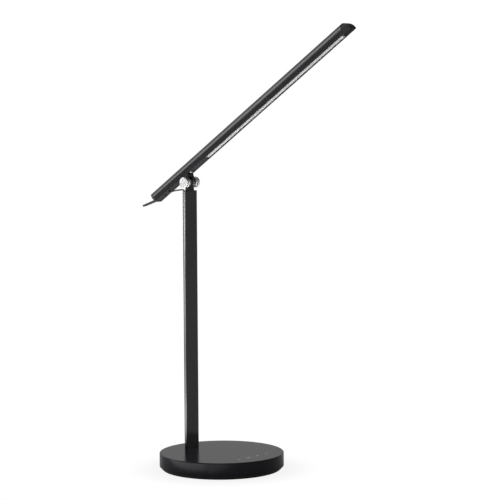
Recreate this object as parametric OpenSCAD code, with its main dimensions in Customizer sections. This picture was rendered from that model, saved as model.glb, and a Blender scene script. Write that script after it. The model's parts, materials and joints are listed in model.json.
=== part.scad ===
// Folding LED desk lamp: a weighted round base, a flat hollow column and a slim light bar
// on a friction hinge. Millimetres, +Z up, the light bar reaches towards -Y.
// The origin is the middle of the foot pad's underside.

/* [Base] */
// Diameter of the base
base_d = 160; // [150:1:180]
// Height of the base with its foot pad
base_h = 21.5; // [21.3:0.1:25]
// Side wall of the base shell
base_wall = 2.5; // [2:0.1:3]
// Top plate of the base shell
base_top_t = 2.5; // [2.2:0.1:3]
// Rounding of the base's upper rim
rim_r = 1.2; // [0.6:0.1:1.8]
// Thickness of the foot pad
foot_pad_t = 1.5; // [1:0.1:1.6]
// Thickness of the bottom cover
cover_t = 2.5; // [2:0.1:2.8]
// Dark band that shows between pad and side wall
band_h = 3; // [2.6:0.1:4]
// Distance from the side wall's face to the foot pad's edge
pad_inset = 4; // [3:0.1:6]

/* [Touch keys] */
// Distance of the key row from the base's front edge
key_front = 26; // [24:1:36]
// Spacing of the keys
key_pitch = 17.4; // [14:0.2:18]
// Diameter of a contact pad
key_pad_d = 9; // [6:0.5:10]

/* [Column] */
// Width of the column
post_w = 24.5; // [21:0.5:26]
// Thickness of the column
post_t = 5; // [4.8:0.1:6]
// Wall of the column
post_wall = 1; // [0.8:0.05:1.1]
// Distance of the column's middle from the base's back edge
post_back = 27.5; // [27:0.5:30]
// Height of the hinge axis above the desk
hinge_z = 367; // [360:1:400]

/* [Hinge] */
// Rest angle of the light bar above the horizontal
rest_tilt = 34; // [10:1:50]
// Distance from the hinge axis to the bar's underside
axis_drop = 9; // [8.6:0.1:11]
// Radius of the knuckle and of the fork's ears
knuckle_r = 5; // [4.5:0.1:5.2]
// Thickness of the knuckle
knuckle_t = 5; // [4:0.1:5.4]
// Diameter of the axle
axle_d = 4; // [3:0.1:4.4]
// Diameter of the hinge caps
cap_d = 14; // [12:0.5:15]
// Thickness of a hinge cap
cap_t = 6; // [5.8:0.1:7]

/* [Light bar] */
// Width of the light bar
bar_w = 12; // [11.6:0.1:14]
// Height of the light bar
bar_h = 14.4; // [14.2:0.1:17]
// Length of the aluminium section in front of the hinge
front_len = 318; // [280:1:325]
// Length of the aluminium section behind the hinge
tail_len = 60; // [56:0.5:70]
// Wall of the aluminium section
bar_wall = 1.2; // [1:0.05:1.3]
// Depth at which the diffuser lies in the bar
diffuser_depth = 1.5; // [1:0.1:2]
// Start of the light strip in front of the hinge
light_start = 43; // [40:1:60]
// Number of LEDs
led_count = 36; // [12:1:40]
// Length of the nose cap in front of the section
nose_len = 12.5; // [8:0.5:13]
// Length of the finger tab
tab_len = 29; // [16:1:30]
// Width of the finger tab at its tip
tab_w = 6; // [4:0.5:7]

/* [Cables] */
// Diameter of the lamp cable
cable_d = 2; // [1.6:0.1:2]
// Diameter of the inner wires
wire_d = 1.6; // [1.2:0.1:1.6]

/* [Hidden] */
$fn = 48;
eps = 0.1;

// Clearances
slip = 0.1;          // between pieces that are pushed together
loose = 0.25;        // around pieces that pass through a wall
running = 0.05;      // around the axle, on the radius
side_gap = 0.15;     // between the turning faces of the hinge
screw_play = 0.15;   // around a screw's shank, on the radius

// Screws: shank radius, head radius, head height
m2 = [0.95, 1.9, 1];
m3 = [1.45, 2.7, 1.6];

// Colours
anodised = [0.12, 0.12, 0.13];
satin_black = [0.1, 0.1, 0.11];
matt_black = [0.05, 0.05, 0.05];
rubber_black = [0.04, 0.04, 0.04];
steel = [0.68, 0.68, 0.7];
silver = [0.85, 0.85, 0.86];
iron = [0.3, 0.3, 0.31];
board_green = [0.1, 0.3, 0.16];
milky = [0.93, 0.93, 0.9];

// Base heights
base_r = base_d / 2;
shell_lift = foot_pad_t + band_h;
cover_top = foot_pad_t + cover_t;
plate_under = base_h - base_top_t;
shell_in_r = base_r - base_wall;
key_y = base_r - key_front;
post_y = base_r - post_back;
cover_r = shell_in_r - slip;
cover_lip_t = 2;
cover_lip_h = 3.5;
cover_screw_len = 8;
weight_screw_len = 4.5;

// Touch board, hung under the top plate
spring_h = 2;
board_t = 1.6;
part_h = 2.9;
board_d = 20;
board_edge = 4;
board_top = plate_under - spring_h;
board_under = board_top - board_t;
key_count = 4;
small_boss_r = 2.4;
board_screw_x = (key_count - 1) / 2 * key_pitch + key_pad_d / 2 + small_boss_r + 1;
board_w = 2 * (board_screw_x + board_edge);
coil_w = 7;
coil_x = 16;
chip_w = 8;
capacitor_size = [3.2, 2.5, 1.8];
capacitor_x = [-18, -12.5];

// Weight, between the cover and the parts under the board
weight_r = cover_r - cover_lip_t - 2;
weight_top = board_under - part_h - 0.5;
pocket_floor = cover_top + 3;
pocket_w = 34;
pocket_front = post_y - 13.5;
pocket_back = post_y + 16;
boss_r = 3.6;
boss_circle = weight_r - boss_r - 3.4;
boss_angles = [45, 135, 225, 315];
weight_screw_circle = 46;
weight_screw_angles = [0, 180, 270];

// Low-voltage inlet at the back
inlet_w = 9;
inlet_h = 3.2;
inlet_len = 7.3;
inlet_skin = 0.35;
inlet_mouth_y = sqrt(pow(base_r, 2) - pow(inlet_w / 2 + 1, 2)) - 0.6;
inlet_board_t = 1;
inlet_board_w = 25;
inlet_board_top = weight_top + 0.3 + inlet_board_t;
inlet_z = inlet_board_top + inlet_h / 2;
inlet_board_len = 12.7;
inlet_board_y1 = shell_in_r - 3.6;
inlet_board_y0 = inlet_board_y1 - inlet_board_len;
inlet_screw_x = 9;
inlet_screw_y = inlet_board_y0 + 4;

// Foot of the column
bracket_t = 2;
post_seat = pocket_floor + bracket_t;
bracket_w = 30;
bracket_front = post_y - 12;
bracket_back = post_y + 12;
bracket_top = plate_under - 0.5;
foot_screw_dy = 8.6;
function foot_screw_x(y) = y < 0 ? 9 : 12;
post_screw_z = post_seat + 5;
post_top = hinge_z - 11.5;
plug_x0 = -6.2;
plug_x1 = post_w / 2 - post_wall - 1.6;
plug_screw_x = [plug_x0 + 4.2, plug_x1 - 3.4];
plug_t = post_t - 2 * post_wall - 2 * slip;
plug_h = 15;
cable_x = -(post_w / 2 - post_wall - 1.6);
cable_slot_w = cable_d + 0.8;

// Yoke on the column
flange_t = 0.8;
shoulder_top = hinge_z - knuckle_r - 1.2;
shoulder_r = 2.5;
yoke_plug_h = 16;
yoke_screw_z = post_top - 9;

// Hinge, across the lamp
washer_t = 0.45;
ear_in = knuckle_t / 2 + side_gap + washer_t;
ear_out = bar_w / 2;
shoulder_w = 2 * (ear_out - 0.3);
axle_r = axle_d / 2;
axle_head_r = axle_r + 2;
axle_head_t = 2.2;
spring_t = 0.8;
nut_r = axle_head_r;
nut_t = 2.6;
cap_face_t = 1.1;
cap_recess_r = nut_r + slip;

// Section of the light bar: straight sides, two large side arcs, one small top arc
side_arc_r = 2 * bar_w / 2;
top_arc_r = bar_w / 3;
crown_rise = sqrt(pow(side_arc_r - top_arc_r, 2) - pow(side_arc_r - bar_w / 2, 2));
side_h = bar_h - crown_rise - top_arc_r;
arc_meet_angle = acos((side_arc_r - bar_w / 2) / (side_arc_r - top_arc_r));
web_t = 1.2;
web_z = 8;
groove_h = 1.6;
groove_depth = bar_wall / 2;
channel_w = bar_w - 2 * bar_wall;
strip_t = groove_h - slip;
strip_top = diffuser_depth + groove_h;
strip_end = 4.5;       // the nose cap's foot covers this much of the channel
neck_front = 7;
neck_back = 6;
block_half = 13;
neck_screw_y = 9.8;
neck_screw_seat = 0.6;
anchor_t = 1.7;
anchor_w = bar_w / 2 - 0.6;
led_board_t = 1;
led_board_w = channel_w - 1;
led_board_z = web_z - led_board_t;
led_size = [3.5, 2.8, 0.8];
light_end = front_len - strip_end - slip;
cable_exit_y = 41;      // middle of the oval hole behind the hinge
cable_exit_len = 13;
tail_plate_t = 2;      // thickness of the tail cap's plate at the underside
tail_lean = 16;        // lean of its end face, the crown reaches furthest back
tail_edge = 1.2;       // chamfer of its rear crown edge
tail_foot = 2.4;
spigot_len = 7;
tab_t = 2.2;
tab_z = 1.2;           // height of the finger tab's root above the underside
tab_tilt = 15;

// Cable from the column to the bar, from the hinge axis. The first two points lie in the
// column, the last three in the bar at rest.
hinge_cable_route = [[cable_x, 0, -20], [cable_x, 0, -13.5], [cable_x, 0.2, -11], [-9.5, 1.4, -9.6],
    [-9, 4.2, -9.2], [-7.8, 8.5, -9.6], [-6, 14.5, -10.2], [-4.2, 20, -10.8],
    [-2.5, 26, -11.8], [-1, 32, -13.2], [0, 37, -14.6], [0, 41, -15.2], [0, 46, -15.4]];
// Cable inside the lamp, from the touch board to the column's top
post_cable_low = [[-24, 7 - key_y, board_under - 1.1], [-24, 15 - key_y, weight_top + 1.8],
    [-23, -20, weight_top + 1.2],
    [-21, 10, weight_top + 1.2], [-14, 32, weight_top + 1.2], [cable_x - 0.6, post_y - 8, weight_top + 1.3],
    [cable_x, post_y - 3.4, weight_top + 1.6], [cable_x, post_y - 0.9, weight_top + 3.2],
    [cable_x, post_y, weight_top + 6]];
// Wires from the inlet to the touch board, over the weight
inlet_route = [[11.6, inlet_board_y0 + 6.6, weight_top - 0.6], [14.6, post_y + 8, weight_top - 0.2],
    [18, post_y + 1.5, weight_top + 1], [24, 30, weight_top + 1], [27, 0, weight_top + 1],
    [26, -24, weight_top + 1], [24, 15 - key_y, weight_top + 1.8],
    [24, 7 - key_y, board_under - 0.9]];
// Wire in the bar, from the hinge, [x, y, height above the underside]
head_lead_route = [[0.8, 47.8, 4.5], [2.4, tail_len - 11.9, 4.9], [3.5, tail_len - 8.5, 5.3],
    [2.5, tail_len - 6, 5.6], [0, tail_len - 5, 5.8], [-2.5, tail_len - 6, 6],
    [-3.5, tail_len - 8.5, 6.1], [-3.5, 40, 6.4], [-3.5, 18, 6.8], [-3.5, -18, 6.8],
    [-3.3, -30, 6.4], [-2.5, -light_start - 3, led_board_z - wire_d / 2 - slip]];

// ---------- shared shapes ----------

// Flat bar section with round ends
module stadium(w, t) {
    square([w - t, t], center = true);
    for (side = [-1, 1]) translate([side * (w - t) / 2, 0]) circle(d = t);
}

// Screw that points up from the underside of its head; s = [shank radius, head radius, head height]
module screw(s, len) {
    difference() {
        union() {
            translate([0, 0, -s[2]]) cylinder(r = s[1], h = s[2]);
            translate([0, 0, -eps]) cylinder(r = s[0], h = len + eps);
        }
        translate([0, 0, -s[2] - eps]) cylinder(r = s[1] * 0.5, h = s[2] * 0.6 + eps, $fn = 6);
    }
}

// Puts its children at an angle on a circle
module on_circle(r, angles) {
    for (a = angles) rotate([0, 0, a]) translate([r, 0, 0]) children();
}

// The light bar's own frame: the hinge axis is its origin, its tail points to +Y
module head_frame() {
    translate([0, post_y, hinge_z]) rotate([-rest_tilt, 0, 0]) children();
}

// Lays a section [x, height above the underside] along the bar, from y0 towards the nose
module along_bar(y0, len) {
    translate([0, y0, axis_drop]) rotate([90, 0, 0]) linear_extrude(len) children();
}

// Turns an outline [y, z] into a plate across the lamp, from x0 to x1
module across(x0, x1) {
    translate([x0, 0, 0]) rotate([90, 0, 90]) linear_extrude(x1 - x0) children();
}

// Outline of the light bar, drawn in by `inset`
module bar_outline(inset = 0) {
    half = bar_w / 2;
    off = side_arc_r - half;
    meet = (side_arc_r - inset) * sin(arc_meet_angle);
    translate([-half + inset, inset]) square([bar_w - 2 * inset, side_h - inset]);
    intersection() {
        translate([off, side_h]) circle(r = side_arc_r - inset);
        translate([-off, side_h]) circle(r = side_arc_r - inset);
        translate([-half, side_h]) square([bar_w, meet]);
    }
    intersection() {
        translate([0, side_h + crown_rise]) circle(r = top_arc_r - inset);
        translate([-half, side_h + meet]) square([bar_w, bar_h]);
    }
    // lies across the line where the arcs meet
    translate([0, side_h + meet]) square([1.8 * (top_arc_r - inset) * cos(arc_meet_angle), 0.4], center = true);
}

// Point where a tangent from p meets the circle r around the origin; side is -1 or 1
function tangent_point(p, r, side) =
    let (a = atan2(p[1], p[0]) + side * acos(r / norm(p))) [r * cos(a), r * sin(a)];

// Smooth curve through the points, `steps` pieces between each two
function curve_point(a, b, c, d, t) =
    0.5 * ((2 * b) + (c - a) * t + (2 * a - 5 * b + 4 * c - d) * t * t
        + (3 * b - a - 3 * c + d) * t * t * t);
function curve(p, steps) = let (n = len(p) - 1) concat(
    [for (i = [0 : n - 1], k = [0 : steps - 1])
        curve_point(p[max(i - 1, 0)], p[i], p[i + 1], p[min(i + 2, n)], k / steps)],
    [p[n]]);
function unit(v) = v / norm(v);
function heading(p, i) = unit(p[min(i + 1, len(p) - 1)] - p[max(i - 1, 0)]);

// Round cable along the points, as one closed tube; it never runs along `ref`
module tube_along(p, d, ref = [1, 0, 0], sides = 8) {
    rings = len(p);
    points = [for (i = [0 : rings - 1], s = [0 : sides - 1])
        let (h = heading(p, i), u = unit(cross(h, ref)), v = cross(h, u), a = 360 * s / sides)
            p[i] + d / 2 * (cos(a) * u + sin(a) * v)];
    walls = [for (i = [0 : rings - 2], s = [0 : sides - 1])
        let (t = (s + 1) % sides)
            [i * sides + s, i * sides + t, (i + 1) * sides + t, (i + 1) * sides + s]];
    first = [for (s = [sides - 1 : -1 : 0]) s];
    last = [for (s = [0 : sides - 1]) (rings - 1) * sides + s];
    polyhedron(points, concat(walls, [first, last]));
}

// ---------- base ----------

module shell_profile() {
    translate([0, shell_lift]) difference() {
        union() {
            square([base_r - rim_r, base_h - shell_lift]);
            square([base_r, base_h - shell_lift - rim_r]);
            translate([base_r - rim_r, base_h - shell_lift - rim_r]) circle(r = rim_r);
        }
        translate([-eps, -eps]) square([shell_in_r + eps, plate_under - shell_lift + eps]);
    }
}

module base_shell() color(satin_black) difference() {
    union() {
        rotate_extrude() shell_profile();
        on_circle(boss_circle, boss_angles)
            translate([0, 0, cover_top]) cylinder(r = boss_r, h = plate_under - cover_top + eps);
        for (side = [-1, 1]) {
            translate([side * board_screw_x, -key_y, board_top])
                cylinder(r = small_boss_r, h = spring_h + eps);
            translate([side * inlet_screw_x, inlet_screw_y, inlet_board_top])
                cylinder(r = small_boss_r, h = plate_under - inlet_board_top + eps);
        }
    }
    on_circle(boss_circle, boss_angles)
        translate([0, 0, cover_top - eps]) cylinder(r = m3[0] + running, h = cover_screw_len + 1);
    for (side = [-1, 1]) {
        translate([side * board_screw_x, -key_y, board_top - eps])
            cylinder(r = m2[0] + running, h = spring_h + 0.8);
        translate([side * inlet_screw_x, inlet_screw_y, inlet_board_top - eps])
            cylinder(r = m2[0] + running, h = 4);
    }
    translate([0, post_y, plate_under - 1])
        linear_extrude(base_top_t + 2) stadium(post_w + 2 * loose, post_t + 2 * loose);
    translate([0, base_r + 2, inlet_z]) rotate([90, 0, 0])
        linear_extrude(base_wall + 4) stadium(inlet_w + 2 * loose + 0.4, inlet_h + 2 * loose);
}

module base_weight() color(iron) difference() {
    translate([0, 0, cover_top]) cylinder(r = weight_r, h = weight_top - cover_top);
    on_circle(boss_circle, boss_angles)
        translate([0, 0, cover_top - eps]) cylinder(r = boss_r + 0.8, h = 12);
    translate([-pocket_w / 2, pocket_front, pocket_floor])
        cube([pocket_w, pocket_back - pocket_front, 12]);
    on_circle(weight_screw_circle, weight_screw_angles)
        translate([0, 0, cover_top - eps]) cylinder(r = m3[0] + running, h = weight_screw_len + 0.5);
    for (x = [-1, 1], y = [-1, 1])
        translate([x * foot_screw_x(y), post_y + y * foot_screw_dy, pocket_floor - 2.5])
            cylinder(r = m3[0] + running, h = 4);
}

module base_cover() color(matt_black) difference() {
    union() {
        translate([0, 0, foot_pad_t]) cylinder(r = cover_r, h = cover_t);
        translate([0, 0, foot_pad_t]) difference() {
            cylinder(r = cover_r, h = cover_t + cover_lip_h);
            translate([0, 0, cover_t]) cylinder(r = cover_r - cover_lip_t, h = cover_lip_h + eps);
        }
    }
    for (spot = [[boss_circle, boss_angles], [weight_screw_circle, weight_screw_angles]])
        on_circle(spot[0], spot[1]) {
            translate([0, 0, foot_pad_t - eps]) cylinder(r = m3[0] + screw_play, h = cover_t + 1);
            translate([0, 0, foot_pad_t - eps]) cylinder(r = m3[1] + loose, h = m3[2] + 0.05 + eps);
        }
}

module foot_pad() color(rubber_black)
    cylinder(r = base_r - pad_inset, h = foot_pad_t);

module cover_screws() color(steel) on_circle(boss_circle, boss_angles)
    translate([0, 0, foot_pad_t + m3[2] + 0.05]) screw(m3, cover_screw_len);

module weight_screws() color(steel) on_circle(weight_screw_circle, weight_screw_angles)
    translate([0, 0, foot_pad_t + m3[2] + 0.05]) screw(m3, weight_screw_len);

// ---------- touch board ----------

module touch_board() color(board_green) difference() {
    translate([-board_w / 2, -key_y - board_d / 2, board_under]) cube([board_w, board_d, board_t]);
    for (side = [-1, 1])
        translate([side * board_screw_x, -key_y, board_under - eps])
            cylinder(r = m2[0] + screw_play, h = board_t + 1);
}

function key_x(i) = (i - (key_count - 1) / 2) * key_pitch;

module touch_springs() color(steel) for (i = [0 : key_count - 1])
    translate([key_x(i), -key_y, board_top]) difference() {
        cylinder(d = key_pad_d, h = spring_h);
        translate([0, 0, -eps]) cylinder(d = key_pad_d - 3, h = spring_h - 0.5 + eps);
    }

// Four plain signs: ring, bar, sun, double bar
module touch_icons() color(silver) translate([0, -key_y, base_h]) linear_extrude(0.1) {
    translate([key_x(0), 0]) difference() {
        circle(d = 4);
        circle(d = 3);
    }
    translate([key_x(1), 0]) {
        square([5.4, 0.6], center = true);
        square([0.6, 3.4], center = true);
    }
    translate([key_x(2), 0]) {
        circle(d = 2);
        for (a = [0 : 45 : 315]) rotate(a) translate([1.9, 0]) square([1, 0.5], center = true);
    }
    translate([key_x(3), 0]) for (side = [-1, 1])
        translate([0, side * 0.9]) square([3.8, 0.6], center = true);
}

module control_chip() color(matt_black)
    translate([-chip_w / 2, -key_y - chip_w * 0.375, board_under - 1.6])
        cube([chip_w, chip_w * 0.75, 1.6]);

module driver_coil() color(iron) translate([coil_x, -key_y, board_under - part_h]) difference() {
    translate([-coil_w / 2, -coil_w / 2, 0]) cube([coil_w, coil_w, part_h]);
    translate([0, 0, -eps]) cylinder(d = coil_w * 0.57, h = 0.5 + eps);
}

module filter_capacitors() color([0.5, 0.38, 0.24]) for (x = capacitor_x)
    translate([x - capacitor_size[0] / 2, -key_y - capacitor_size[1] / 2, board_under - capacitor_size[2]])
        cube(capacitor_size);

module board_screws() color(steel) for (side = [-1, 1])
    translate([side * board_screw_x, -key_y, board_under]) screw(m2, board_t + spring_h + 0.5);

// ---------- inlet ----------

module inlet_board() color(board_green) difference() {
    translate([-inlet_board_w / 2, inlet_board_y0, inlet_board_top - inlet_board_t])
        cube([inlet_board_w, inlet_board_y1 - inlet_board_y0, inlet_board_t]);
    for (side = [-1, 1])
        translate([side * inlet_screw_x, inlet_screw_y, inlet_board_top - inlet_board_t - eps])
            cylinder(r = m2[0] + screw_play, h = inlet_board_t + 1);
}

module inlet_shell() color(steel) translate([0, inlet_mouth_y, inlet_z]) rotate([90, 0, 0])
    difference() {
        linear_extrude(inlet_len) stadium(inlet_w, inlet_h);
        translate([0, 0, -eps]) linear_extrude(inlet_len - 0.8 + eps)
            stadium(inlet_w - 2 * inlet_skin, inlet_h - 2 * inlet_skin);
    }

module inlet_tongue() color(matt_black)
    translate([-3.35, inlet_mouth_y - inlet_len + 0.8, inlet_z - 0.35])
        cube([6.7, inlet_len - 2, 0.7]);

module inlet_screws() color(steel) for (side = [-1, 1])
    translate([side * inlet_screw_x, inlet_screw_y, inlet_board_top - inlet_board_t])
        screw(m2, inlet_board_t + 3);

module inlet_leads() color([0.5, 0.08, 0.07]) tube_along(curve(inlet_route, 3), wire_d);

// ---------- foot of the column ----------

module foot_bracket() color(steel) difference() {
    union() {
        translate([-bracket_w / 2, bracket_front, pocket_floor])
            cube([bracket_w, bracket_back - bracket_front, bracket_t]);
        translate([-post_w / 2 + 1, post_y + post_t / 2, pocket_floor + eps])
            cube([post_w - 2, bracket_t, bracket_top - pocket_floor - eps]);
    }
    for (x = [-1, 1], y = [-1, 1])
        translate([x * foot_screw_x(y), post_y + y * foot_screw_dy, pocket_floor - eps])
            cylinder(r = m3[0] + screw_play, h = bracket_t + 1);
    for (x = plug_screw_x) translate([x, post_y, post_screw_z]) rotate([-90, 0, 0])
        cylinder(r = m3[0] + screw_play, h = 12);
}

module foot_screws() color(steel) for (x = [-1, 1], y = [-1, 1])
    translate([x * foot_screw_x(y), post_y + y * foot_screw_dy, post_seat]) mirror([0, 0, 1])
        screw(m3, bracket_t + 2.2);

module post() color(anodised) difference() {
    translate([0, post_y, post_seat]) linear_extrude(post_top - post_seat) difference() {
        stadium(post_w, post_t);
        stadium(post_w - 2 * post_wall, post_t - 2 * post_wall);
    }
    for (x = plug_screw_x) {
        translate([x, post_y, post_screw_z]) rotate([-90, 0, 0])
            cylinder(r = m3[0] + screw_play, h = post_t);
        translate([x, post_y, yoke_screw_z]) rotate([-90, 0, 0])
            cylinder(r = m2[0] + screw_play, h = post_t);
        translate([x, post_y + post_t / 2 - m2[2], yoke_screw_z]) rotate([-90, 0, 0])
            cylinder(r1 = m2[0] + screw_play, r2 = m2[1] + screw_play, h = m2[2] + 0.01);
    }
    // slot that lets the cable in under the top plate
    translate([cable_x - cable_slot_w / 2, post_y - post_t, weight_top - 0.2])
        cube([cable_slot_w, post_t, plate_under - weight_top]);
}

// Plug in the column's hollow, beside the cable, threaded for two cross screws
module column_plug(z0, h, screw_z, screw_r) difference() {
    translate([plug_x0, post_y - plug_t / 2, z0]) cube([plug_x1 - plug_x0, plug_t, h]);
    for (x = plug_screw_x) translate([x, post_y - post_t, screw_z]) rotate([-90, 0, 0])
        cylinder(r = screw_r, h = 2 * post_t);
}

module foot_plug() color(steel)
    column_plug(post_seat, plug_h, post_screw_z, m3[0] + running);

module post_screws() color(steel) for (x = plug_screw_x)
    translate([x, post_y + post_t / 2 + bracket_t, post_screw_z]) rotate([90, 0, 0])
        screw(m3, bracket_t + post_wall + plug_t - 0.2);

module post_cable() color(matt_black)
    tube_along(concat(curve(post_cable_low, 3),
        [[cable_x, post_y, hinge_z / 2], [cable_x, post_y, hinge_z + hinge_cable_route[0][2]]]), cable_d);

// ---------- hinge ----------

module post_yoke() color(matt_black) difference() {
    union() {
        column_plug(post_top - yoke_plug_h, yoke_plug_h + eps, yoke_screw_z, m2[0] + running);
        translate([0, post_y, post_top]) linear_extrude(flange_t) stadium(post_w, post_t);
        // shoulder with round upper corners
        translate([0, post_y + post_t / 2, 0]) rotate([90, 0, 0]) linear_extrude(post_t) {
            translate([-shoulder_w / 2, post_top])
                square([shoulder_w, shoulder_top - shoulder_r - post_top]);
            translate([-shoulder_w / 2 + shoulder_r, post_top])
                square([shoulder_w - 2 * shoulder_r, shoulder_top - post_top]);
            for (side = [-1, 1])
                translate([side * (shoulder_w / 2 - shoulder_r), shoulder_top - shoulder_r])
                    circle(r = shoulder_r);
        }
        translate([-knuckle_t / 2, post_y - post_t / 2, shoulder_top - shoulder_r])
            cube([knuckle_t, post_t, hinge_z - shoulder_top + shoulder_r]);
        translate([0, post_y, hinge_z]) rotate([0, 90, 0])
            cylinder(r = knuckle_r, h = knuckle_t, center = true);
    }
    translate([0, post_y, hinge_z]) rotate([0, 90, 0])
        cylinder(r = axle_r + running, h = knuckle_t + 1, center = true);
    // notch that lets the cable out at the back
    translate([cable_x, post_y, post_top - eps]) {
        cylinder(d = cable_slot_w, h = flange_t + 2 * eps);
        translate([-cable_slot_w / 2, 0, 0]) cube([cable_slot_w, post_t, flange_t + 2 * eps]);
    }
}

module yoke_screws() color(steel) for (x = plug_screw_x)
    translate([x, post_y + post_t / 2, yoke_screw_z]) rotate([90, 0, 0]) difference() {
        union() {
            cylinder(r1 = m2[1], r2 = m2[0], h = m2[2]);
            cylinder(r = m2[0], h = post_wall + plug_t - 0.2);
        }
        translate([0, 0, -eps]) cylinder(r = 0.8, h = 0.6, $fn = 6);
    }

module hinge_cable() color(matt_black) translate([0, post_y, hinge_z])
    tube_along(curve(hinge_cable_route, 2), cable_d);

module hinge_axle() color(steel) head_frame() rotate([0, 90, 0]) difference() {
    union() {
        translate([0, 0, -ear_out - axle_head_t]) cylinder(r = axle_head_r, h = axle_head_t);
        translate([0, 0, -ear_out - eps]) cylinder(r = axle_r, h = 2 * ear_out + spring_t + nut_t + eps);
    }
    translate([0, 0, -ear_out - axle_head_t - eps]) cylinder(r = axle_r * 0.7, h = 1.2 + eps, $fn = 6);
}

module spring_washer() color(steel) head_frame() translate([ear_out, 0, 0]) rotate([0, 90, 0])
    difference() {
        cylinder(r = nut_r - 0.3, h = spring_t);
        translate([0, 0, -eps]) cylinder(r = axle_r + running, h = spring_t + 2 * eps);
    }

module hinge_nut() color(steel) head_frame() translate([ear_out + spring_t, 0, 0]) rotate([0, 90, 0])
    difference() {
        cylinder(r = nut_r, h = nut_t, $fn = 6);
        translate([0, 0, -eps]) cylinder(r = axle_r + running, h = nut_t + 2 * eps);
    }

module friction_washers() color(milky) head_frame() for (side = [-1, 1])
    translate([side * (ear_in - washer_t / 2), 0, 0]) rotate([0, 90, 0]) difference() {
        cylinder(r = knuckle_r - 0.2, h = washer_t, center = true);
        cylinder(r = axle_r + running, h = washer_t + 1, center = true);
    }

// Round cap over one end of the axle; its open side lies on the ear
module hinge_cap() rotate_extrude() difference() {
    union() {
        square([cap_d / 2 - 0.8, cap_t]);
        square([cap_d / 2, cap_t - 0.8]);
        translate([cap_d / 2 - 0.8, cap_t - 0.8]) circle(r = 0.8);
    }
    translate([-eps, -eps]) square([cap_recess_r + eps, cap_t - cap_face_t + eps]);
}

module near_hinge_cap() color(silver) head_frame()
    translate([-ear_out, 0, 0]) rotate([0, -90, 0]) hinge_cap();

module far_hinge_cap() color(silver) head_frame()
    translate([ear_out, 0, 0]) rotate([0, 90, 0]) hinge_cap();

// Side view of the fork's arm: an eye on the axis that widens towards the bar
module fork_outline() {
    front = tangent_point([-neck_front, axis_drop], knuckle_r, 1);
    back = tangent_point([neck_back, axis_drop], knuckle_r, -1);
    circle(r = knuckle_r);
    polygon([[0, 0], front, [-neck_front, axis_drop], [neck_back, axis_drop], back]);
}

module head_bracket() color(matt_black) head_frame() difference() {
    union() {
        across(-ear_out, ear_out) fork_outline();
        translate([-channel_w / 2 + slip, -block_half, axis_drop + neck_screw_seat])
            cube([channel_w - 2 * slip, 2 * block_half, web_z - neck_screw_seat - slip]);
        translate([-channel_w / 2 + slip, -neck_front, axis_drop - eps])
            cube([channel_w - 2 * slip, neck_front + neck_back, neck_screw_seat + 2 * eps]);
    }
    translate([-ear_in, -block_half, -2 * knuckle_r])
        cube([2 * ear_in, 2 * block_half, 3 * knuckle_r + 0.5]);
    rotate([0, 90, 0]) cylinder(r = axle_r + running, h = 2 * ear_out + 2, center = true);
    for (side = [-1, 1]) translate([0, side * neck_screw_y, axis_drop])
        cylinder(r = m3[0] + screw_play, h = web_z + 1);
    // groove for the wire
    translate([-channel_w / 2 - eps, -block_half - 1, axis_drop + web_z - wire_d - 0.8])
        cube([wire_d + 1, 2 * block_half + 2, wire_d + 2]);
}

module neck_screws() color(silver) head_frame() for (side = [-1, 1])
    translate([0, side * neck_screw_y, axis_drop + neck_screw_seat])
        screw([m3[0], 2.4, m3[2]], web_z + web_t + anchor_t - neck_screw_seat);

module anchor_plate() color(steel) head_frame() difference() {
    translate([-anchor_w / 2, -block_half - 3, axis_drop + web_z + web_t])
        cube([anchor_w, 2 * block_half + 6, anchor_t]);
    for (side = [-1, 1]) translate([0, side * neck_screw_y, axis_drop])
        cylinder(r = m3[0] + running, h = bar_h);
}

// ---------- light bar ----------

module profile_section() difference() {
    bar_outline();
    translate([-channel_w / 2, -eps]) square([channel_w, web_z + eps]);
    translate([-channel_w / 2 - groove_depth, diffuser_depth])
        square([channel_w + 2 * groove_depth, groove_h]);
    intersection() {
        bar_outline(bar_wall);
        translate([-bar_w, web_z + web_t]) square([2 * bar_w, bar_h]);
    }
}

module head_profile() color(anodised) head_frame() difference() {
    along_bar(tail_len, tail_len + front_len) profile_section();
    for (side = [-1, 1]) translate([0, side * neck_screw_y, axis_drop + web_z - eps])
        cylinder(r = m3[0] + screw_play, h = web_t + 2 * eps);
}

// Strip that snaps into the bar's grooves; drop is how far it fills the channel below them
module groove_strip(y0, len, drop) along_bar(y0, len) {
    translate([-channel_w / 2 - groove_depth + slip / 2, diffuser_depth + slip / 2])
        square([channel_w + 2 * groove_depth - slip, strip_t]);
    translate([-channel_w / 2 + slip, diffuser_depth - drop])
        square([channel_w - 2 * slip, drop + slip]);
}

module rear_cover_strip() color(matt_black) head_frame() difference() {
    groove_strip(tail_len, tail_len - block_half - slip, diffuser_depth - 0.2);
    translate([0, cable_exit_y, axis_drop - 1]) linear_extrude(strip_top + 2)
        rotate(90) stadium(cable_exit_len, cable_d + 0.8);
}

module front_cover_strip() color(matt_black) head_frame()
    groove_strip(-block_half - slip, light_start - block_half - 2 * slip, diffuser_depth - 0.2);

module diffuser() color(milky) head_frame()
    groove_strip(-light_start, light_end - light_start, 0);

module led_board() color(board_green) head_frame()
    translate([-led_board_w / 2, -light_end, axis_drop + led_board_z])
        cube([led_board_w, light_end - light_start + 1.5, led_board_t]);

module led_chips() color([0.95, 0.85, 0.35]) head_frame() for (i = [0 : led_count - 1])
    translate([-led_size[0] / 2,
        -light_start - 5 - i * (light_end - light_start - 10 - led_size[1]) / (led_count - 1) - led_size[1],
        axis_drop + led_board_z - led_size[2]])
        cube(led_size);

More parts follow.
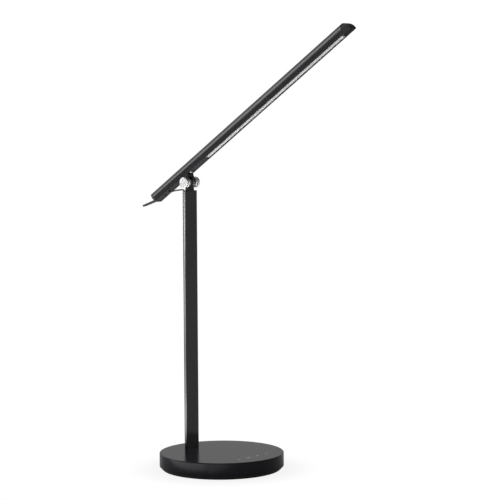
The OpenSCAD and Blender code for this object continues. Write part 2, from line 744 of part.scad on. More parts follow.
module nose_cap() color(matt_black) head_frame() {
    nose_r = bar_h;
    intersection() {
        along_bar(-front_len, nose_len + 1) bar_outline();
        translate([0, -front_len - nose_len + nose_r, axis_drop]) rotate([0, 90, 0])
            cylinder(r = nose_r, h = 2 * bar_w, center = true, $fn = 96);
    }
    // foot in the channel and spigot in the upper hollow
    translate([-channel_w / 2 + slip, -front_len - eps, axis_drop + 0.2])
        cube([channel_w - 2 * slip, strip_end + eps, web_z - 0.3]);
    intersection() {
        along_bar(-front_len + spigot_len, spigot_len + eps) bar_outline(bar_wall + slip);
        translate([-bar_w, -front_len - eps, axis_drop + web_z + web_t + slip])
            cube([2 * bar_w, spigot_len + eps, bar_h]);
    }
}

module tail_cap() color(matt_black) head_frame() {
    reach = tail_plate_t + tan(tail_lean) * bar_h;
    edge_run = tan(tail_lean) * tail_edge;
    intersection() {
        along_bar(tail_len + reach, reach) bar_outline();
        across(-bar_w, bar_w) translate([tail_len, axis_drop])
            polygon([[-1, -1], [tail_plate_t - tan(tail_lean), -1], [reach - edge_run, bar_h - tail_edge],
                [reach - tail_edge, bar_h], [reach - tail_edge, bar_h + 1], [-1, bar_h + 1]]);
    }
    // foot in the channel and spigot in the upper hollow
    translate([-channel_w / 2 + slip, tail_len - tail_foot, axis_drop + strip_top + slip])
        cube([channel_w - 2 * slip, tail_foot + eps, web_z - strip_top - 2 * slip]);
    intersection() {
        along_bar(tail_len + eps, spigot_len + eps) bar_outline(bar_wall + slip);
        translate([-bar_w, tail_len - spigot_len, axis_drop + web_z + web_t + slip])
            cube([2 * bar_w, spigot_len + eps, bar_h]);
    }
    finger_tab();
}

// Thin tongue at the tail, turned away from the underside
module finger_tab() {
    root_w = bar_w - 3.5;
    translate([0, tail_len + tab_t * sin(tab_tilt), axis_drop + tab_z]) rotate([tab_tilt, 0, 0])
        linear_extrude(tab_t) {
            polygon([[-root_w / 2, 0], [root_w / 2, 0], [tab_w / 2, tab_len - tab_w / 2],
                [-tab_w / 2, tab_len - tab_w / 2]]);
            translate([0, tab_len - tab_w / 2]) circle(d = tab_w);
        }
}

module head_lead() color([0.85, 0.84, 0.8]) head_frame()
    tube_along([for (p = curve(head_lead_route, 3)) p + [0, 0, axis_drop]], wire_d, [0, 0, 1]);

base_shell();
base_weight();
base_cover();
foot_pad();
cover_screws();
weight_screws();
touch_board();
touch_springs();
touch_icons();
control_chip();
driver_coil();
filter_capacitors();
board_screws();
inlet_board();
inlet_shell();
inlet_tongue();
inlet_screws();
inlet_leads();
foot_bracket();
foot_screws();
post();
foot_plug();
post_screws();
post_cable();
post_yoke();
yoke_screws();
hinge_cable();
hinge_axle();
hinge_nut();
spring_washer();
friction_washers();
near_hinge_cap();
far_hinge_cap();
head_bracket();
neck_screws();
anchor_plate();
head_profile();
rear_cover_strip();
front_cover_strip();
led_board();
led_chips();
diffuser();
nose_cap();
tail_cap();
head_lead();
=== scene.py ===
"""Folding LED desk lamp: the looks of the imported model."""
import json
import math

import bmesh
import bpy
from mathutils import Matrix, Vector


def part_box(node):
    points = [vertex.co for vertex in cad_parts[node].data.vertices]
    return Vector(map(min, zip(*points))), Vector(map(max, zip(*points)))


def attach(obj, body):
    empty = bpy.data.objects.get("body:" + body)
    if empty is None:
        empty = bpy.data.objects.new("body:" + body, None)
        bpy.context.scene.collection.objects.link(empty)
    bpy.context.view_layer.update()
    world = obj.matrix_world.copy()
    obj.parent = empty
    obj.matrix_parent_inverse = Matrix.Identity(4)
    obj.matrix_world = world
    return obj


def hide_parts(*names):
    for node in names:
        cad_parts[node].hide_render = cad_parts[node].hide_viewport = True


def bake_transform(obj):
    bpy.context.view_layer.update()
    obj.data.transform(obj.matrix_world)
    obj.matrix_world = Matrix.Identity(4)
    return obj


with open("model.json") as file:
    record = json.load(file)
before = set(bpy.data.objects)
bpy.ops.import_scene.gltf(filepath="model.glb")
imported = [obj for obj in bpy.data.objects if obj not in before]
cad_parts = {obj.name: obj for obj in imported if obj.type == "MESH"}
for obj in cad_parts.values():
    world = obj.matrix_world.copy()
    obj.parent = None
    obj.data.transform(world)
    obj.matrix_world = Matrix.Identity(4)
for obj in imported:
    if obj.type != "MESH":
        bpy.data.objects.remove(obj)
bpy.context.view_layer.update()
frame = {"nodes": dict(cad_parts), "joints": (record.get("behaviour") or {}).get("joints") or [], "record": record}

# ---------------------------------------------------------------- sizes, in millimetres

MM = 0.001
REST_TILT = math.radians(34)      # light bar above the horizontal, at rest
HINGE = Vector(frame["joints"][0]["pos_m"]) / MM


def span(node, axis):
    """Lowest and highest coordinate of a CAD node along x, y or z."""
    low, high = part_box(node)
    index = "xyz".index(axis)
    return low[index] / MM, high[index] / MM


BASE_R = span("base_shell", "x")[1]
SHELL_BOTTOM, SHELL_TOP = span("base_shell", "z")
SHELL_WALL = 2.5
PAD_R = span("foot_pad", "x")[1]
PAD_TOP = span("foot_pad", "z")[1]
POST_W = 2 * span("post", "x")[1]
POST_T = span("post", "y")[1] - span("post", "y")[0]
POST_BOTTOM, POST_TOP = span("post", "z")
POST_WALL = 1.0
BAR_W = 2 * span("head_profile", "x")[1]
BAR_WALL = 1.2
BAR_SIDE_H = 5.11                 # straight part of the bar's side
ARC_R = BAR_W                     # side arcs of the arched back
CROWN_R = BAR_W / 3               # small arc on top
AXIS_DROP = 9.0                   # hinge axis to the bar's underside
WEB = (8.0, 9.2)                  # inner floor of the bar
GROOVE = (1.5, 3.1)               # grooves that hold the diffuser
FRONT_LEN = 318.0
TAIL_LEN = 60.0
BAR_H = 14.4                      # underside to crown
NOSE_LEN = 12.5
LIGHT_START = 43.0
LIGHT_END = 313.4
BLOCK_HALF = 13.0
SCREW_Y = 9.8
KNUCKLE_R = 5.0
EAR = (3.1, 6.0)                  # inner and outer face of the fork's ears
CAP_R, CAP_T = 7.0, 6.0
CABLE_D = 2.0
YOKE_SCREWS = (-2.0, 6.25)
KEY_Y = -54.0
KEY_STEP = 17.4                   # between the signs on the base

# cable from the column to the bar, from the hinge axis
CABLE_ROUTE = (
    (-9.65, 0, -20), (-9.65, 0, -13.5), (-9.65, 0.2, -11), (-9.5, 1.4, -9.6), (-9, 4.2, -9.2),
    (-7.8, 8.5, -9.6), (-6, 14.5, -10.2), (-4.2, 20, -10.8), (-2.5, 26, -11.8), (-1, 32, -13.2),
    (0, 37, -14.6), (0, 41, -15.2), (0, 46, -15.4),
)

HEAD = Matrix.Translation(HINGE) @ Matrix.Rotation(-REST_TILT, 4, "X")   # the bar's own frame
BAR = HEAD @ Matrix.Translation((0, 0, AXIS_DROP))                       # the same, from its underside
SLOT_OF = {part["node"]: part["material_slot"] for part in frame["record"]["subparts"]}


# ---------------------------------------------------------------- finishes

class Amount:
    """A number that changes over a surface; + - * / add Math nodes."""

    def __init__(self, finish, socket):
        self.finish = finish
        self.socket = socket

    def _math(self, operation, *values, clamp=False):
        return self.finish.add("Math", {"operation": operation, "use_clamp": clamp}, dict(enumerate(values)))

    def __add__(self, other): return self._math("ADD", self, other)
    def __sub__(self, other): return self._math("SUBTRACT", self, other)
    def __rsub__(self, other): return self._math("SUBTRACT", other, self)
    def __mul__(self, other): return self._math("MULTIPLY", self, other)
    def __truediv__(self, other): return self._math("DIVIDE", self, other)
    def __pow__(self, other): return self._math("POWER", self, other)
    __radd__ = __add__
    __rmul__ = __mul__

    def above(self, edge, soft):
        """0 below edge, 1 above edge + soft."""
        return self.finish.add("Map Range", {"interpolation_type": "SMOOTHSTEP"},
                               {0: self, 1: edge, 2: edge + soft, 3: 0.0, 4: 1.0})


class Finish:
    """One material. The constants sit on the shader's own sockets."""

    def __init__(self, name, color, roughness, metallic=0.0, **sockets):
        self.material = bpy.data.materials.new(name)
        self.material.use_nodes = True
        self.tree = self.material.node_tree
        self.shader = self.tree.nodes["Principled BSDF"]
        self.color, self.roughness = color, roughness
        self.set("Base Color", (*color, 1.0))
        self.set("Roughness", roughness)
        self.set("Metallic", metallic)
        for key, value in sockets.items():
            self.set(key.replace("_", " "), value)
        self.material.diffuse_color = (*color, 1.0)

    def set(self, socket, value):
        self._feed(self.shader.inputs[socket], value)

    def _feed(self, socket, value):
        if isinstance(value, Amount):
            self.tree.links.new(value.socket, socket)
        elif isinstance(value, (int, float)) and hasattr(socket.default_value, "__len__"):
            socket.default_value = (value,) * len(socket.default_value)
        else:
            socket.default_value = value

    def add(self, kind, settings=None, inputs=None, output=0):
        """Adds a node: its settings first, then the values or links of its sockets."""
        names = {"Math": "ShaderNodeMath", "Map Range": "ShaderNodeMapRange", "Noise": "ShaderNodeTexNoise",
                 "Voronoi": "ShaderNodeTexVoronoi", "Wave": "ShaderNodeTexWave", "Mapping": "ShaderNodeMapping",
                 "Coordinates": "ShaderNodeTexCoord", "Vector": "ShaderNodeVectorMath", "Bump": "ShaderNodeBump",
                 "Mix": "ShaderNodeMix", "Split": "ShaderNodeSeparateXYZ", "Brick": "ShaderNodeTexBrick"}
        node = self.tree.nodes.new(names[kind])
        for key, value in (settings or {}).items():
            setattr(node, key, value)
        for key, value in (inputs or {}).items():
            self._feed(node.inputs[key], value)
        return Amount(self, node.outputs[output])

    def place(self, scale=1.0, turn=(0, 0, 0), move=(0, 0, 0)):
        """Object coordinates, moved, turned and scaled; a scale counts features to the metre."""
        scale = (scale, scale, scale) if isinstance(scale, (int, float)) else scale
        here = self.add("Coordinates", output=3)
        moved = self.add("Vector", {"operation": "SUBTRACT"}, {0: here, 1: Vector(move)})
        return self.add("Mapping", {"vector_type": "POINT"}, {0: moved, 2: turn, 3: scale})

    def noise(self, vector, detail=2.0, rough=0.5):
        return self.add("Noise", None, {"Vector": vector, "Scale": 1.0, "Detail": detail, "Roughness": rough})

    def mottle(self, amount, low, high):
        """Base colour that runs from low to high times its plain value."""
        tones = [tuple(channel * k for channel in self.color) + (1.0,) for k in (low, high)]
        self.set("Base Color", self.add("Mix", {"data_type": "RGBA"}, {0: amount, 6: tones[0], 7: tones[1]}, output=2))
        return self

    def rough(self, amount, spread):
        """Roughness that changes by up to half of spread each way."""
        self.set("Roughness", amount * spread + (self.roughness - spread / 2))
        return self

    def bump(self, height, depth_mm, strength=1.0):
        self.set("Normal", self.add("Bump", None, {"Strength": strength, "Distance": depth_mm * MM, "Height": height}))
        return self


def drawn_metal(name, color, roughness, turn, metallic=1.0, depth=0.006, **sockets):
    """Extruded aluminium: faint die lines along the piece, a fine blasted grain and a coloured oxide."""
    finish = Finish(name, color, roughness, metallic, **sockets)
    lines = finish.noise(finish.place((3500, 14, 3500), turn), 3.0)
    grain = finish.noise(finish.place(5200), 2.0)
    cloud = finish.noise(finish.place(28), 3.0)
    finish.mottle(cloud * 0.6 + lines * 0.4, 0.82, 1.18)
    finish.rough(grain * 0.6 + cloud * 0.4, 0.12)
    return finish.bump(lines * 0.6 + grain * 0.4, depth)


def moulded_plastic(name, color, roughness, grain_mm=0.22, depth=0.012, **sockets):
    """Injection-moulded plastic with a spark-eroded grain."""
    finish = Finish(name, color, roughness, **sockets)
    grain = finish.add("Voronoi", {"feature": "SMOOTH_F1"}, {"Vector": finish.place(1000 / grain_mm), "Scale": 1.0})
    fine = finish.noise(finish.place(2400 / grain_mm), 1.0)
    cloud = finish.noise(finish.place(60), 3.0)
    finish.mottle(cloud, 0.85, 1.15)
    finish.rough(fine * 0.5 + cloud * 0.5, 0.14)
    return finish.bump(grain * 0.7 + fine * 0.3, depth)


def powder_paint(name, color, roughness, depth=0.01, **sockets):
    """Satin paint with a slight orange peel and a few dust specks."""
    finish = Finish(name, color, roughness, **sockets)
    peel = finish.noise(finish.place(1500), 2.0)
    fine = finish.noise(finish.place(6000), 2.0)
    cloud = finish.noise(finish.place(18), 3.0)
    specks = finish.noise(finish.place(2600), 0.0).above(0.74, 0.05)
    finish.mottle(cloud * 0.7 + specks * 0.3, 0.88, 1.2)
    finish.rough(fine * 0.5 + cloud * 0.5, 0.1)
    return finish.bump(peel * 0.65 + fine * 0.35, depth)


def plain_steel(name, color, roughness, depth=0.01):
    """Plated steel with fine random scratches and a cloudy plating."""
    finish = Finish(name, color, roughness, 1.0)
    scratches = finish.noise(finish.place((900, 6500, 2600), (0.4, 0.7, 0.3)), 3.0)
    cloud = finish.noise(finish.place(420), 3.0)
    finish.mottle(cloud, 0.86, 1.08)
    finish.rough(scratches * 0.5 + cloud * 0.5, 0.18)
    return finish.bump(scratches, depth)


def turned_aluminium(name, color, roughness):
    """Lathe-turned caps: a blasted face, a smoother wall, fine rings round the hinge's axis, clear anodised."""
    finish = Finish(name, color, roughness, 1.0)
    across = finish.add("Split", None, {0: finish.place(1000.0, move=HINGE * MM)}, output=0)
    along = finish.add("Split", None, {0: finish.place(1000.0, move=HINGE * MM)}, output=1)
    up = finish.add("Split", None, {0: finish.place(1000.0, move=HINGE * MM)}, output=2)
    radius = (along * along + up * up) ** 0.5
    rings = finish.add("Math", {"operation": "SINE"}, {0: radius * 42.0})
    grain = finish.noise(finish.place(7000), 2.0)
    wall = radius.above(CAP_R - 0.4, 0.2) * (across * across * -1.0).above(-(EAR[1] + CAP_T - 0.3) ** 2, 2.0)
    finish.mottle(finish.noise(finish.place(300), 2.0), 0.96, 1.04)
    finish.set("Roughness", grain * 0.08 + (roughness - 0.04) - wall * (roughness - 0.2))
    return finish.bump(rings * 0.5 + grain * 0.5, 0.0006)


def circuit_board(name, color):
    """Green solder mask over copper tracks, with the weave of the glass cloth below."""
    finish = Finish(name, color, 0.32, Specular_IOR_Level=0.5)
    tracks = finish.add("Brick", {"offset": 0.37}, {"Vector": finish.place(320), "Scale": 1.0, "Mortar Size": 0.09,
                        "Brick Width": 1.3, "Row Height": 0.55}, output=1)
    weave = finish.add("Wave", {"wave_type": "BANDS", "bands_direction": "X"},
                       {"Vector": finish.place(1600), "Scale": 1.0, "Distortion": 0.4}, output=1)
    finish.mottle(tracks * 0.8 + weave * 0.2, 0.75, 1.5)
    finish.rough(weave, 0.08)
    return finish.bump(tracks * 0.8 + weave * 0.1, 0.03)


def cable_cover(name, color, roughness=0.5):
    """Soft extruded insulation, faintly ribbed where it left the die."""
    finish = Finish(name, color, roughness, Specular_IOR_Level=0.4)
    grain = finish.noise(finish.place(3600), 2.0)
    cloud = finish.noise(finish.place(240), 2.0)
    finish.mottle(cloud, 0.85, 1.15)
    finish.rough(cloud, 0.12)
    return finish.bump(grain, 0.01)


def cast_metal(name, color):
    finish = Finish(name, color, 0.62, 0.85)
    sand = finish.noise(finish.place(1100), 4.0, 0.65)
    stain = finish.noise(finish.place(70), 3.0)
    finish.mottle(stain, 0.7, 1.25)
    finish.rough(stain, 0.2)
    return finish.bump(sand, 0.12)


def foot_rubber(name, color):
    finish = Finish(name, color, 0.78, Specular_IOR_Level=0.3)
    pebbles = finish.add("Voronoi", {"feature": "SMOOTH_F1"}, {"Vector": finish.place(1300), "Scale": 1.0})
    dust = finish.noise(finish.place(120), 4.0, 0.6)
    finish.mottle(dust, 0.8, 1.5)
    finish.rough(dust, 0.15)
    return finish.bump(pebbles, 0.05)


def milky_plastic(name, color):
    """Opal sheet that hides the LEDs behind it."""
    finish = Finish(name, color, 0.38, Specular_IOR_Level=0.45, Subsurface_Weight=0.25,
                    Subsurface_Radius=(0.002, 0.002, 0.002), Subsurface_Scale=1.0)
    cloud = finish.noise(finish.place(160), 2.0)
    frost = finish.noise(finish.place(5000), 2.0)
    finish.mottle(cloud, 0.97, 1.02)
    finish.rough(cloud, 0.06)
    return finish.bump(frost, 0.008)


def small_part(name, color, roughness, metallic=0.0):
    """Moulded, sintered or printed small parts with a fine grain."""
    finish = Finish(name, color, roughness, metallic)
    grain = finish.noise(finish.place(4200), 3.0)
    cloud = finish.noise(finish.place(500), 2.0)
    finish.mottle(cloud, 0.85, 1.12)
    finish.rough(grain, 0.1)
    return finish.bump(grain, 0.01)


ALONG_BAR = (REST_TILT, 0, 0)
ALONG_POST = (math.pi / 2, 0, 0)

FINISHES = {
    "base_paint": powder_paint("base_paint", (0.010, 0.0092, 0.0125), 0.2, 0.003, Specular_IOR_Level=0.15),
    "black_anodised": drawn_metal("black_anodised", (0.009, 0.0087, 0.0098), 0.21, ALONG_BAR, 0.0, 0.002,
                                  Specular_IOR_Level=0.27),
    "hinge_black": powder_paint("hinge_black", (0.008, 0.008, 0.009), 0.34, 0.006, Specular_IOR_Level=0.35),
    "black_plastic": moulded_plastic("black_plastic", (0.012, 0.012, 0.013), 0.42, Specular_IOR_Level=0.4),
    "pad_rubber": foot_rubber("pad_rubber", (0.014, 0.014, 0.014)),
    "cap_aluminium": turned_aluminium("cap_aluminium", (0.57, 0.565, 0.575), 0.42),
    "steel": plain_steel("steel", (0.56, 0.56, 0.57), 0.32),
    "bright_steel": plain_steel("bright_steel", (0.45, 0.45, 0.46), 0.34),
    "black_steel": plain_steel("black_steel", (0.05, 0.05, 0.055), 0.36),
    "spring_steel": plain_steel("spring_steel", (0.52, 0.49, 0.43), 0.28),
    "inlet_steel": plain_steel("inlet_steel", (0.64, 0.64, 0.65), 0.26),
    "iron": cast_metal("iron", (0.12, 0.12, 0.125)),
    "circuit_board": circuit_board("circuit_board", (0.012, 0.085, 0.03)),
    "icon_print": small_part("icon_print", (0.62, 0.62, 0.64), 0.5),
    "chip_plastic": small_part("chip_plastic", (0.018, 0.018, 0.018), 0.55),
    "coil_iron": small_part("coil_iron", (0.06, 0.06, 0.065), 0.6, 0.2),
    "capacitor_body": small_part("capacitor_body", (0.27, 0.17, 0.08), 0.4),
    "led_phosphor": small_part("led_phosphor", (0.85, 0.62, 0.1), 0.3),
    "red_insulation": cable_cover("red_insulation", (0.36, 0.02, 0.015)),
    "white_insulation": cable_cover("white_insulation", (0.7, 0.69, 0.64)),
    "cable_jacket": cable_cover("cable_jacket", (0.03, 0.03, 0.031), 0.4),
    "washer_plastic": small_part("washer_plastic", (0.7, 0.7, 0.66), 0.35),
    "milky_diffuser": milky_plastic("milky_diffuser", (0.6, 0.6, 0.59)),
}
NOSE_FINISH = moulded_plastic("black_plastic_nose", (0.006, 0.006, 0.007), 0.5, Specular_IOR_Level=0.12)
# The column's copy of the bar's black anodised, with a lighter base colour: painted light for the stronger light on the
# column's front face.
LIT_COLUMN_FINISH = drawn_metal("black_anodised_lit_column", (0.014, 0.0133, 0.015), 0.13, ALONG_POST, 0.0, 0.001,
                          Specular_IOR_Level=0.6)


# ---------------------------------------------------------------- making pieces

def chain(bm, points):
    """Vertices joined by edges, in the order of the points."""
    verts = [bm.verts.new(point) for point in points]
    for a, b in zip(verts, verts[1:]):
        bm.edges.new((a, b))
    return verts


def arc(bm, start, centre, axis, degrees, steps):
    """Carries a vertex round a centre and leaves an arc behind it; returns its last vertex."""
    spun = bmesh.ops.spin(bm, geom=[start], cent=centre, axis=axis, dvec=(0, 0, 0), angle=math.radians(degrees),
                          steps=steps, use_merge=False, use_normal_flip=False, use_duplicate=False)
    return next(part for part in spun["geom_last"] if isinstance(part, bmesh.types.BMVert))


def soften(bm, geom, width, segments=3, affect="EDGES"):
    bmesh.ops.bevel(bm, geom=geom, offset=width, offset_type="OFFSET", affect=affect, segments=segments,
                    profile=0.5, material=-1, clamp_overlap=True)


def soften_sharp(bm, width, segments=3, degrees=35, where=None):
    """Bevels the edges that turn by more than the given angle."""
    bm.normal_update()
    sharp = [edge for edge in bm.edges if len(edge.link_faces) == 2
             and edge.calc_face_angle(0) > math.radians(degrees) and (where is None or where(edge))]
    if sharp:
        soften(bm, sharp, width, segments)


def closed_outline(points, rounds=None):
    """A flat face in the plane x, z; rounds gives a corner's number its radius."""
    bm = bmesh.new()
    verts = [bm.verts.new((x, 0, z)) for x, z in points]
    bm.faces.new(verts)
    for corner, radius in sorted((rounds or {}).items()):
        soften(bm, [verts[corner]], radius, 6, "VERTICES")
    return bm


def push(bm, way):
    """Gives the flat faces of bm a thickness."""
    moved = bmesh.ops.extrude_face_region(bm, geom=bm.faces[:], use_keep_orig=True)
    bmesh.ops.translate(bm, vec=way, verts=[part for part in moved["geom"] if isinstance(part, bmesh.types.BMVert)])
    bmesh.ops.recalc_face_normals(bm, faces=bm.faces[:])
    return bm


def mirrored(bm):
    """Adds the other half, across x = 0."""
    bmesh.ops.mirror(bm, geom=bm.verts[:] + bm.edges[:] + bm.faces[:], matrix=Matrix(), merge_dist=1e-4, axis="X")
    return bm


def stadium_face(width, thick, level=0.0, steps=16):
    """Flat bar section with round ends, in the plane x, y."""
    bm = bmesh.new()
    half = (width - thick) / 2
    start = bm.verts.new((half, -thick / 2, level))
    arc(bm, start, (half, 0, level), (0, 0, 1), 180, steps)
    mirrored(bm)
    bm.verts.ensure_lookup_table()
    for y in (-thick / 2, thick / 2):
        ends = [v for v in bm.verts if abs(v.co.y - y) < 1e-4 and abs(abs(v.co.x) - half) < 1e-4]
        bm.edges.new(ends)
    bmesh.ops.contextual_create(bm, geom=bm.edges[:])
    return bm


def box(low, high):
    bm = bmesh.new()
    bmesh.ops.create_cube(bm, size=1.0)
    size = Vector(high) - Vector(low)
    bmesh.ops.scale(bm, vec=size, verts=bm.verts)
    bmesh.ops.translate(bm, vec=(Vector(low) + Vector(high)) / 2, verts=bm.verts)
    return bm


def rod(radius, length, place, segments=48, top=None):
    """Cylinder or cone from the origin along +z, then placed."""
    bm = bmesh.new()
    bmesh.ops.create_cone(bm, cap_ends=True, cap_tris=False, segments=segments, radius1=radius,
                          radius2=radius if top is None else top, depth=length)
    bmesh.ops.translate(bm, vec=(0, 0, length / 2), verts=bm.verts)
    bm.transform(place)
    return bm


def lathe(points, rounds=None, steps=96):
    """Turns the profile (radius, height) round z; rounds gives a corner's number its radius."""
    bm = bmesh.new()
    verts = chain(bm, [(r, 0, z) for r, z in points])
    for corner, radius in (rounds or {}).items():
        soften(bm, [verts[corner]], radius, 5, "VERTICES")
    bmesh.ops.spin(bm, geom=bm.verts[:] + bm.edges[:], cent=(0, 0, 0), axis=(0, 0, 1), dvec=(0, 0, 0),
                   angle=math.tau, steps=steps, use_merge=True, use_normal_flip=False, use_duplicate=False)
    bmesh.ops.remove_doubles(bm, verts=bm.verts[:], dist=1e-4)
    bmesh.ops.recalc_face_normals(bm, faces=bm.faces[:])
    return bm


def as_object(bm):
    mesh = bpy.data.meshes.new("tool")
    bm.to_mesh(mesh)
    bm.free()
    obj = bpy.data.objects.new("tool", mesh)
    bpy.context.scene.collection.objects.link(obj)
    return obj


def combine(body, operation, *tools):
    """Joins tools to a body, or cuts them out of it."""
    base = as_object(body)
    others = [as_object(tool) for tool in tools]
    for other in others:
        cut = base.modifiers.new("cut", "BOOLEAN")
        cut.operation, cut.object, cut.solver = operation, other, "EXACT"
    made = bmesh.new()
    made.from_object(base, bpy.context.evaluated_depsgraph_get())
    for obj in (base, *others):
        mesh = obj.data
        bpy.data.objects.remove(obj)
        bpy.data.meshes.remove(mesh)
    bmesh.ops.remove_doubles(made, verts=made.verts[:], dist=1e-4)
    bmesh.ops.dissolve_limit(made, angle_limit=math.radians(0.5), verts=made.verts[:], edges=made.edges[:])
    return made


def add_to(bm, other):
    """Puts another mesh beside this one, as a part of the same piece."""
    mesh = bpy.data.meshes.new("part")
    other.to_mesh(mesh)
    other.free()
    bm.from_mesh(mesh)
    bpy.data.meshes.remove(mesh)
    return bm


def piece(name, bm, node, body, place=None, finish=None, smooth=30):
    """Makes the object: millimetres to metres, put in its place, with its material and its body."""
    bm.transform(Matrix.Scale(MM, 4) @ (place or Matrix()))
    bmesh.ops.recalc_face_normals(bm, faces=bm.faces[:])
    for face in bm.faces:
        face.smooth = True
    for edge in bm.edges:
        edge.smooth = len(edge.link_faces) == 2 and edge.calc_face_angle(0) < math.radians(smooth)
    mesh = bpy.data.meshes.new(name)
    bm.to_mesh(mesh)
    bm.free()
    obj = bpy.data.objects.new(name, mesh)
    bpy.context.scene.collection.objects.link(obj)
    even = obj.modifiers.new("even_shading", "WEIGHTED_NORMAL")
    even.keep_sharp = True
    slot = SLOT_OF[node]
    mesh.materials.append((finish or FINISHES[slot]).material)
    if body:
        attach(obj, body)
    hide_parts(node)
    return obj


# ---------------------------------------------------------------- base

def base_body():
    inner_r, inner_z = BASE_R - SHELL_WALL, SHELL_TOP - SHELL_WALL
    bm = lathe([(0, SHELL_TOP), (BASE_R, SHELL_TOP), (BASE_R, SHELL_BOTTOM), (inner_r, SHELL_BOTTOM),
                (inner_r, inner_z), (0, inner_z)], {1: 1.2, 2: 0.5, 3: 0.4}, steps=180)
    slot = push(stadium_face(POST_W + 0.5, POST_T + 0.5, inner_z - 2), (0, 0, 8))
    bmesh.ops.translate(slot, vec=(0, HINGE.y, 0), verts=slot.verts)
    mouth_z = sum(span("inlet_shell", "z")) / 2
    mouth = push(stadium_face(9.9, 3.7), (0, 0, 20))
    mouth.transform(Matrix.Translation((0, BASE_R - 12, mouth_z)) @ Matrix.Rotation(-math.pi / 2, 4, "X"))
    bm = combine(bm, "DIFFERENCE", slot, mouth)
    rim = lambda edge: all(abs(v.co.z - SHELL_TOP) < 0.01 and v.co.xy.length < BASE_R - 5 for v in edge.verts)
    soften_sharp(bm, 0.3, 3, 60, rim)
    return piece("base_body", bm, "base_shell", "stand")


def foot_ring():
    bm = lathe([(0, 0.5), (40, 0.5), (40.6, 0), (66, 0), (66.4, 0.4), (67.6, 0.4), (68, 0), (PAD_R, 0),
                (PAD_R, PAD_TOP), (0, PAD_TOP)], {7: 0.5, 8: 0.2}, steps=180)
    return piece("foot_ring", bm, "foot_pad", "stand")


def key_signs():
    """Four fine printed signs: a ring with a stem, a long ring with a stroke, a sun and three bars."""
    low, high = span("touch_icons", "z")
    deep = high - low
    through = Matrix.Translation((0, 0, -1))
    inner = push(stadium_face(6.8, 2.0, -1), (0, 0, deep + 2))
    signs = [
        combine(rod(2.0, deep, Matrix(), 40), "DIFFERENCE", rod(1.35, deep + 2, through, 40)),
        combine(push(stadium_face(8.2, 3.4), (0, 0, deep)), "DIFFERENCE", inner),
        rod(1.3, deep, Matrix(), 32),
        box((-1.9, -0.35, 0), (1.9, 0.35, deep)),
    ]
    signs[0] = combine(signs[0], "UNION", box((-0.3, 0.4, 0), (0.3, 1.8, deep)))
    signs[1] = combine(signs[1], "UNION", box((-0.35, -2.3, 0), (0.35, 2.3, deep)))
    for step in range(8):
        ray = box((1.6, -0.3, 0), (2.4, 0.3, deep))
        ray.transform(Matrix.Rotation(step * math.pi / 4, 4, "Z"))
        add_to(signs[2], ray)
    for y in (-1.4, 1.4):
        add_to(signs[3], box((-1.9, y - 0.35, 0), (1.9, y + 0.35, deep)))
    bm = bmesh.new()
    for number, sign in enumerate(signs):
        bmesh.ops.translate(sign, vec=(KEY_STEP * (number - 1.5), KEY_Y, low), verts=sign.verts)
        add_to(bm, sign)
    return piece("key_signs", bm, "touch_icons", "stand")


# ---------------------------------------------------------------- column

def column():
    bm = push(stadium_face(POST_W, POST_T, POST_BOTTOM), (0, 0, POST_TOP - POST_BOTTOM))
    hollow = push(stadium_face(POST_W - 2 * POST_WALL, POST_T - 2 * POST_WALL, POST_BOTTOM - 1),
                  (0, 0, POST_TOP - POST_BOTTOM + 2))
    sinks = [rod(2.05, 1.0, Matrix.Translation((x, POST_T / 2 + 0.01, POST_TOP - 9))
                 @ Matrix.Rotation(math.pi / 2, 4, "X"), top=1.1) for x in YOKE_SCREWS]
    bm = combine(bm, "DIFFERENCE", hollow, *sinks)
    soften_sharp(bm, 0.18, 2, 60, lambda e: all(abs(v.co.z - POST_TOP) < 0.01 for v in e.verts))
    return piece("column", bm, "post", "stand", Matrix.Translation((0, HINGE.y, 0)), LIT_COLUMN_FINISH)


def yoke():
    """Black end piece of the column: flange, shoulder, tongue and knuckle."""
    deep = POST_T / 2
    shoulder_w, shoulder_top, flange_top = 5.7, HINGE.z - KNUCKLE_R - 1.2, POST_TOP + 0.8
    flange = push(stadium_face(POST_W, POST_T, POST_TOP), (0, 0, 0.8))
    cable_x = CABLE_ROUTE[0][0]
    notch = box((cable_x - 1.4, -1.4, POST_TOP - 1), (cable_x + 1.4, deep + 1, flange_top + 1))
    flange = combine(flange, "DIFFERENCE", notch)
    shoulder = closed_outline([(-shoulder_w, POST_TOP), (shoulder_w, POST_TOP), (shoulder_w, shoulder_top),
                               (-shoulder_w, shoulder_top)], {2: 2.5, 3: 2.5})
    push(shoulder, (0, POST_T, 0))
    bmesh.ops.translate(shoulder, vec=(0, -deep, 0), verts=shoulder.verts)
    tongue = box((-KNUCKLE_R / 2, -deep, shoulder_top - 2), (KNUCKLE_R / 2, deep, HINGE.z))
    knuckle = rod(KNUCKLE_R, KNUCKLE_R, Matrix.Translation((-KNUCKLE_R / 2, 0, HINGE.z))
                  @ Matrix.Rotation(math.pi / 2, 4, "Y"), 64)
    plug = box((-6.2, -1.4, POST_TOP - 16), (POST_W / 2 - 2.6, 1.4, POST_TOP + 0.2))
    bore = rod(2.05, 20, Matrix.Translation((-10, 0, HINGE.z)) @ Matrix.Rotation(math.pi / 2, 4, "Y"), 48)
    bm = combine(flange, "UNION", shoulder, tongue, knuckle, plug)
    bm = combine(bm, "DIFFERENCE", bore)
    soften_sharp(bm, 0.3, 3, 40, lambda e: min(v.co.z for v in e.verts) > POST_TOP + 0.1)
    return piece("yoke", bm, "post_yoke", "stand", Matrix.Translation((0, HINGE.y, 0)))


# ---------------------------------------------------------------- hinge

def tangent_point(x, z, radius, side):
    """Where a line from (x, z) touches the circle round the axis."""
    angle = math.atan2(z, x) + side * math.acos(radius / math.hypot(x, z))
    return radius * math.cos(angle), radius * math.sin(angle)


